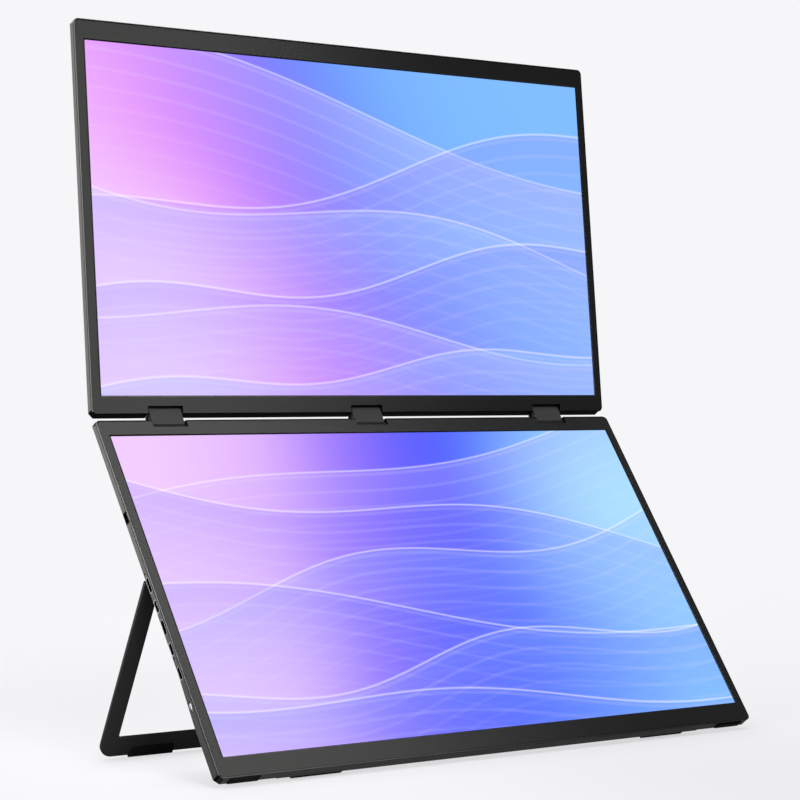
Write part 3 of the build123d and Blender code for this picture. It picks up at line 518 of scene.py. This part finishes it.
def boardFinish(name, s):
    r = Recipe(name)
    wander = r.calc("MULTIPLY", r.noise(s["wanderSize"], detail=1.0), s["wander"])
    axes = r.add("ShaderNodeSeparateXYZ", {"Vector": r.place}).outputs
    tracks = []
    for axis in (axes["X"], axes["Z"]):
        row = r.calc("MULTIPLY_ADD", axis, 1 / s["pitch"], wander)
        gap = r.calc("ABSOLUTE", r.calc("SUBTRACT", r.calc("FRACT", row), 0.5))
        tracks.append(r.span(gap, s["width"], s["width"] * s["solid"]))
    choice = r.span(r.noise(s["patchSize"], detail=0.0), *s["patchSpan"])
    lines = r.calc("MULTIPLY_ADD", choice, r.calc("SUBTRACT", tracks[0], tracks[1]), tracks[1])
    grain = r.noise(s["grainSize"])
    mask = r.vary(grain, paint(*s["mask"]), *s["shades"])
    r.set(Base_Color=r.mix(lines, mask, paint(*s["track"])))
    r.set(Roughness=r.span(grain, *common["noiseSpan"], s["roughness"]))
    r.grain(lines, *s["relief"])
    return r.material


dress(boardFinish("solderMask", boardLook), "main_board", "lower_driver_board", "upper_driver_board")

chipLook = dict(
    colour=(28, 28, 29), drift=0.1, speckle=0.16, grainSize=0.25 * mm, grainDepth=0.012 * mm,
    roughness=(0.5, 0.66),
)
dress(solidFinish("chipResin", chipLook), "board_chips")


# Even stripes, by the distance from the middle of each pitch
def stripeMask(r, place, s):
    row = r.calc("FRACT", r.calc("MULTIPLY", place, 1 / s["pitch"]))
    return r.span(r.calc("ABSOLUTE", r.calc("SUBTRACT", row, 0.5)), *s["stripe"])


# Ribbons: amber film over a row of flat conductors
ribbonLook = dict(
    film=(150, 84, 22), conductor=(196, 128, 60), shades=(0.85, 1.1), driftSize=6 * mm, pitch=0.5 * mm,
    stripe=(0.3, 0.22), relief=(0.02 * mm, 0.4), roughness=(0.24, 0.36),
)


def ribbonFinish(name, s):
    r = Recipe(name)
    stripes = stripeMask(r, r.dot(r.place, sideways), s)
    drift = r.noise(s["driftSize"])
    film = r.vary(drift, paint(*s["film"]), *s["shades"])
    r.set(Base_Color=r.mix(stripes, film, paint(*s["conductor"])))
    r.set(Roughness=r.span(drift, *common["noiseSpan"], s["roughness"]))
    r.grain(stripes, *s["relief"])
    return r.material


dress(ribbonFinish("ribbonFilm", ribbonLook), "lower_ribbons", "upper_ribbon", "hinge_ribbon")

# Socket tongues: dark moulding with a row of gold contacts along the lower display's edge
tongueLook = dict(
    body=(14, 14, 15), contact=(58, 48, 32), shades=(0.8, 1.2), grainSize=0.2 * mm, pitch=0.5 * mm,
    stripe=(0.3, 0.24), relief=(0.03 * mm, 0.5), roughness=(0.4, 0.55), specular=0.08,
)


def tongueFinish(name, s):
    r = Recipe(name)
    up = facing(displays["lower"]["lean"])[1]
    contacts = stripeMask(r, r.dot(r.place, up), s)
    grain = r.noise(s["grainSize"])
    body = r.vary(grain, paint(*s["body"]), *s["shades"])
    r.set(Base_Color=r.mix(contacts, body, paint(*s["contact"])), Metallic=contacts)
    r.set(Roughness=r.span(grain, *common["noiseSpan"], s["roughness"]))
    r.set(Specular_IOR_Level=s["specular"])
    r.grain(contacts, *s["relief"])
    return r.material


dress(tongueFinish("goldContacts", tongueLook), "usb_c_tongues", "micro_socket_tongues")
print("inner finishes done")

# Lit screens: rolling dunes with bright crests over a sideways sweep of colour
# glows: place across and up, reach, colour, weight
# dunes: level, slope, swing, waves, phase, depth, colour, weight
upperPicture = dict(
    bottomMargin=3.0 * mm, topMargin=5.0 * mm, sideMargin=2.5 * mm, sweep=0.34,
    palette=(
        (0.0, (246, 196, 252)), (0.2, (236, 136, 250)), (0.38, (166, 116, 255)),
        (0.54, (104, 124, 255)), (0.74, (112, 172, 255)), (1.0, (134, 194, 255)),
    ),
    glows=((0.05, 0.1, 0.42, (250, 222, 255), 0.9), (0.86, 0.84, 0.5, (122, 186, 255), 0.7)),
    dunes=(
        (0.86, -0.34, 0.05, 0.8, 0.4, 0.5, (226, 198, 255), 0.38),
        (0.66, 0.3, 0.06, 1.1, 2.1, 0.36, (150, 130, 255), 0.5),
        (0.52, -0.24, 0.07, 0.9, 4.0, 0.3, (170, 204, 255), 0.45),
        (0.36, 0.2, 0.05, 1.3, 1.2, 0.28, (118, 110, 250), 0.45),
        (0.2, -0.12, 0.05, 1.0, 5.3, 0.3, (206, 186, 255), 0.42),
        (0.08, 0.14, 0.03, 1.6, 0.6, 0.2, (150, 190, 255), 0.55),
    ),
)
lowerPicture = dict(
    bottomMargin=5.0 * mm, topMargin=3.0 * mm, sideMargin=2.5 * mm, sweep=-0.12,
    palette=(
        (0.0, (242, 206, 255)), (0.2, (228, 180, 255)), (0.34, (158, 118, 255)),
        (0.5, (74, 78, 250)), (0.72, (60, 106, 255)), (1.0, (140, 214, 255)),
    ),
    glows=((0.0, 0.3, 0.36, (246, 214, 255), 0.8), (0.97, 0.72, 0.4, (176, 232, 255), 0.8)),
    dunes=(
        (0.9, 0.3, 0.05, 0.9, 1.0, 0.4, (196, 180, 255), 0.36),
        (0.72, -0.3, 0.06, 1.0, 3.4, 0.34, (104, 98, 255), 0.45),
        (0.56, 0.26, 0.06, 1.2, 5.1, 0.3, (132, 172, 255), 0.4),
        (0.38, -0.22, 0.05, 0.9, 0.7, 0.28, (84, 100, 250), 0.4),
        (0.24, 0.16, 0.05, 1.4, 2.6, 0.26, (124, 158, 255), 0.4),
        (0.1, -0.12, 0.03, 1.2, 4.4, 0.2, (92, 128, 255), 0.45),
    ),
)
screenLook = dict(
    border=0.5 * mm, borderSolid=0.7, borderColour=(14, 14, 18), aside=0.4 * mm, corner=0.9 * mm,
    duneWeight=0.6, duneSoft=0.008, crestWidth=0.0032, crestShine=0.42, crestColour=(255, 252, 255),
    folds=18.0, foldSpan=(0.7, 1.0), foldShine=0.08, foldColour=(255, 250, 255),
    filmSize=0.2 * mm, filmColours=((8, 8, 9), (12, 12, 13)), roughness=(0.3, 0.36), specular=0.2,
)


def pictureFinish(name, display, s, look):
    r = Recipe(name)
    up = facing(displays[display]["lean"])[1]
    corners = [v.co for v in nodes[display + "_screen"].data.vertices]
    bottom = min(c.dot(up) for c in corners) + s["bottomMargin"]
    top = max(c.dot(up) for c in corners) - s["topMargin"]
    left = min(c.x for c in corners) + s["sideMargin"]
    right = max(c.x for c in corners) - s["sideMargin"]
    across = r.dot(r.place, sideways)
    rise = r.dot(r.place, up)
    u = r.span(across, left, right, smooth=False)
    v = r.span(rise, bottom, top, smooth=False)

    stops = [(at, paint(*colour)) for at, colour in s["palette"]]
    sweep = r.calc("MULTIPLY_ADD", v, s["sweep"], r.calc("SUBTRACT", u, s["sweep"] / 2))
    picture = r.ramp(sweep, stops)
    for atU, atV, reach, colour, weight in s["glows"]:
        du = r.calc("SUBTRACT", u, atU)
        dv = r.calc("MULTIPLY", r.calc("SUBTRACT", v, atV), (top - bottom) / (right - left))
        away = r.calc("SQRT", r.calc("MULTIPLY_ADD", du, du, r.calc("MULTIPLY", dv, dv)))
        picture = r.mix(r.span(away, reach, 0.0, (0.0, weight)), picture, paint(*colour))
    for level, slope, swing, waves, phase, depth, tint, weight in s["dunes"]:
        wave = r.calc("SINE", r.calc("MULTIPLY_ADD", u, waves * math.tau, phase))
        crest = r.calc("MULTIPLY_ADD", wave, swing, r.calc("MULTIPLY_ADD", u, slope, level - slope / 2))
        below = r.calc("SUBTRACT", crest, v)
        fade = r.calc("EXPONENT", r.calc("MULTIPLY", below, -1 / depth))
        body = r.calc("MULTIPLY", r.span(below, 0.0, look["duneSoft"]), fade)
        picture = r.mix(r.calc("MULTIPLY", body, weight * look["duneWeight"]), picture, paint(*tint))
        # fine lighter folds that run along with the crest
        folds = r.calc("SINE", r.calc("MULTIPLY", below, look["folds"] * math.tau))
        folds = r.calc("MULTIPLY", r.span(folds, *look["foldSpan"]), body)
        picture = r.mix(r.calc("MULTIPLY", folds, look["foldShine"]), picture, paint(*look["foldColour"]))
        edge = r.calc("MULTIPLY", below, 1 / look["crestWidth"])
        line = r.calc("EXPONENT", r.calc("MULTIPLY", r.calc("MULTIPLY", edge, edge), -1.0))
        picture = r.mix(r.calc("MULTIPLY", line, look["crestShine"]), picture, paint(*look["crestColour"]))

    # dark line between the picture and the frame
    wide = (across, (left + right) / 2 + look["aside"], right - left)
    tall = (rise, (bottom + top) / 2, top - bottom)
    outside = outOfRectangle(r, wide, tall, look["corner"])
    shown = r.span(outside, -look["border"] * look["borderSolid"], -look["border"])
    picture = r.mix(shown, paint(*look["borderColour"]), picture)
    film = r.noise(look["filmSize"], detail=2.0)
    r.set(Base_Color=r.mix(film, *(paint(*colour) for colour in look["filmColours"])))
    r.set(Roughness=r.span(film, *common["noiseSpan"], look["roughness"]))
    r.set(Emission_Color=picture, Emission_Strength=1.0, Specular_IOR_Level=look["specular"])
    return r.material


dress(pictureFinish("upperPicture", "upper", upperPicture, screenLook), "upper_screen")
dress(pictureFinish("lowerPicture", "lower", lowerPicture, screenLook), "lower_screen")
print("screens done")

# Stage: a pale floor that melts into the background away from the object, with a painted contact shadow
# near it
stageLook = dict(
    size=8.0, pale=(246, 246, 248), seenFloor=0.1, bounceFloor=0.15, glow=0.88, fadeStart=0.3, fadeEnd=1.3,
    contactReach=0.05, contactDark=0.3, contactSamples=8, roughness=0.9, fill=0.12,
)


# Rays that look at the stage, straight or by way of a shiny or clear face
def seenRays(tree):
    path = tree.nodes.new("ShaderNodeLightPath")
    total = path.outputs["Is Camera Ray"]
    for name in ("Is Glossy Ray", "Is Transmission Ray"):
        join = tree.nodes.new("ShaderNodeMath")
        join.operation = "MAXIMUM"
        tree.links.new(total, join.inputs[0])
        tree.links.new(path.outputs[name], join.inputs[1])
        total = join.outputs[0]
    return total


def makeFloor(s):
    half = s["size"] / 2
    mesh = bpy.data.meshes.new("floor")
    corners = [(-half, -half, 0), (half, -half, 0), (half, half, 0), (-half, half, 0)]
    mesh.from_pydata(corners, [], [(0, 1, 2, 3)])
    floor = bpy.data.objects.new("floor", mesh)
    bpy.context.scene.collection.objects.link(floor)
    r = Recipe("paleFloor")
    pale = paint(*s["pale"])
    seen = seenRays(r.tree)
    away = r.add("ShaderNodeVectorMath", operation="LENGTH")
    r.put(away.inputs[0], r.place)
    far = r.span(away.outputs["Value"], s["fadeStart"], s["fadeEnd"])
    bounced = r.add("ShaderNodeLightPath").outputs["Is Diffuse Ray"]
    r.set(Base_Color=r.vary(bounced, pale, s["seenFloor"], s["bounceFloor"]))
    r.set(Roughness=s["roughness"], Specular_IOR_Level=0.0)
    # Painted contact shadow: the floor's glow dimmed where ambient occlusion finds the object close by
    reach = {"Distance": s["contactReach"]}
    near = r.add("ShaderNodeAmbientOcclusion", reach, samples=s["contactSamples"])
    soft = r.span(near.outputs["AO"], 0.0, 1.0, (1 - s["contactDark"], 1.0), smooth=False)
    glow = r.calc("MULTIPLY", r.calc("MULTIPLY", seen, s["glow"]), soft)
    r.set(Emission_Color=pale, Emission_Strength=glow)
    backdrop = r.add("ShaderNodeEmission", {"Color": pale, "Strength": seen})
    blend = r.add("ShaderNodeMixShader", {"Fac": far})
    r.put(blend.inputs[1], r.shader.outputs[0])
    r.put(blend.inputs[2], backdrop.outputs[0])
    r.put(r.output.inputs["Surface"], blend.outputs[0])
    mesh.materials.append(r.material)


def makeWorld(s):
    world = bpy.data.worlds.new("studio")
    world.use_nodes = True
    bpy.context.scene.world = world
    tree = world.node_tree
    background = tree.nodes["Background"]
    background.inputs["Color"].default_value = paint(*s["pale"])
    strength = tree.nodes.new("ShaderNodeMapRange")
    strength.inputs["To Min"].default_value = s["fill"]
    strength.inputs["To Max"].default_value = 1.0
    tree.links.new(seenRays(tree), strength.inputs["Value"])
    tree.links.new(strength.outputs[0], background.inputs["Strength"])


makeFloor(stageLook)
makeWorld(stageLook)

# Lamps: two narrow beams at the left, so that the frames darken to the right, and a wide one behind
lamps = dict(
    sideSoft=dict(
        at=(-0.267, 0.038, 0.358), aim=(0.637, 0.038, -0.07), size=(0.235, 0.486), power=0.59, spread=60.3,
        mirrored=False,
    ),
    frontSoft=dict(
        at=(-0.222, -0.34, 0.38), aim=(-0.196, -0.059, 0.087), size=(0.33, 0.71), power=1.11, spread=42.7,
        mirrored=False,
    ),
    rearSoft=dict(
        at=(0.45, 0.95, 0.75), aim=(0.0, 0.05, 0.15), size=(1.0, 0.7), power=14.0, spread=180.0,
        mirrored=True,
    ),
)
for name, s in lamps.items():
    lamp = bpy.data.lights.new(name, "AREA")
    lamp.shape = "RECTANGLE"
    lamp.size, lamp.size_y = s["size"]
    lamp.energy = s["power"]
    lamp.spread = math.radians(s["spread"])
    holder = bpy.data.objects.new(name, lamp)
    holder.location = s["at"]
    holder.rotation_euler = (Vector(s["aim"]) - Vector(s["at"])).to_track_quat("-Z", "Y").to_euler()
    holder.visible_camera = False
    holder.visible_glossy = s["mirrored"]
    bpy.context.scene.collection.objects.link(holder)

# Camera at the photographer's place
viewpoint = dict(
    at=(-0.76383, -1.04744, 0.18075), yaw=35.589, pitch=0.397, roll=-0.443, lens=104.791, sensor=36.0,
)


def makeCamera(s):
    data = bpy.data.cameras.new("camera")
    data.lens = s["lens"]
    data.sensor_width = s["sensor"]
    camera = bpy.data.objects.new("camera", data)
    turn = Matrix.Rotation(math.radians(-s["yaw"]), 4, "Z")
    tilt = Matrix.Rotation(math.radians(90 + s["pitch"]), 4, "X")
    roll = Matrix.Rotation(math.radians(s["roll"]), 4, "Z")
    camera.matrix_world = Matrix.Translation(s["at"]) @ turn @ tilt @ roll
    bpy.context.scene.collection.objects.link(camera)
    bpy.context.scene.camera = camera


makeCamera(viewpoint)
bpy.context.scene.view_settings.view_transform = "Standard"
print("stage, lamps and camera done")

bpy.context.view_layer.update()
